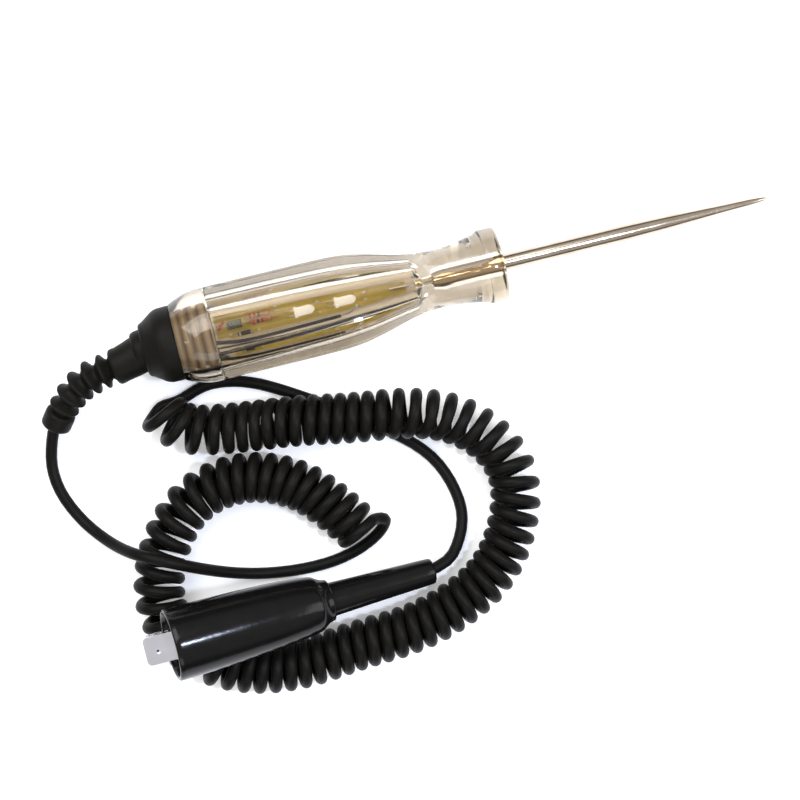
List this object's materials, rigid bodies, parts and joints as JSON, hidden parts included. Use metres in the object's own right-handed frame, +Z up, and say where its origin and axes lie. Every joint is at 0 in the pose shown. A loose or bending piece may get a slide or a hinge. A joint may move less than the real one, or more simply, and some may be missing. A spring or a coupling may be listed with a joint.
{
  "type": "circuit test light",
  "caption": "Continuity tester with a clear faceted handle, tapered probe, lamps on a board inside, curly lead and a booted spring clip.",
  "frame": {"origin": "on the tool's axis where the probe's bare shank begins, half a millimetre in front of the handle's bell", "axes": "+X towards the probe's tip, seen from above; +Z up from the floor that the tool and its lead lie on. The tool's axis dips 1.8 degrees towards the tip because the bell is slimmer than the back collar"},
  "size_m": [0.2338, 0.1261, 0.0386],
  "materials": {
    "clear_handle": "clear, slightly amber, polished",
    "probe_steel": "polished",
    "tinned_wire": "satin",
    "board_laminate": "satin solder mask",
    "lamp_clear": "water clear",
    "resistor_orange": "satin",
    "diode_dark": "gloss",
    "chip_dark": "satin",
    "red_wire": "satin",
    "solder": "bright",
    "wire_black": "satin",
    "copper": "bright",
    "plug_dark": "satin",
    "cap_black": "satin",
    "cord_black": "satin",
    "boot_black": "gloss",
    "clip_nickel": "bright nickel",
    "spring_steel": "satin"
  },
  "bodies": {
    "tester": {"handle_shell": "clear_handle", "probe": "probe_steel", "probe_lead": "tinned_wire", "circuit_board": "board_laminate", "led_rear": "lamp_clear", "led_front": "lamp_clear", "led_legs": "tinned_wire", "resistor_long": "resistor_orange", "resistor_short": "resistor_orange", "diode": "diode_dark", "board_chip": "chip_dark", "red_link": "red_wire", "solder_joints": "solder", "ground_wire": "wire_black", "ground_strands": "copper", "end_plug": "plug_dark", "end_cap": "cap_black", "strain_relief": "cap_black", "relief_collar": "cap_black", "lead_handle": "cord_black", "lead_coil": "cord_black", "lead_clip": "cord_black", "boot_tail": "boot_black", "clip_boot": "boot_black", "lead_core": "cord_black", "clip_strands": "copper", "clip_crimp": "clip_nickel", "clip_body": "clip_nickel", "clip_pin": "clip_nickel", "clip_spring": "spring_steel"},
    "jaw": {"clip_jaw": "clip_nickel"}
  },
  "joints": [
    {"name": "jaw_hinge", "type": "hinge", "parent": "tester", "child": "jaw", "pos_m": [-0.10397, -0.0863, 0.01126], "axis": [0, 1, 0], "range_deg": [0, 18], "stiffness_Nm_per_rad": 0.02, "springref_deg": -20.05, "deforming": ["clip_spring"]}
  ]
}
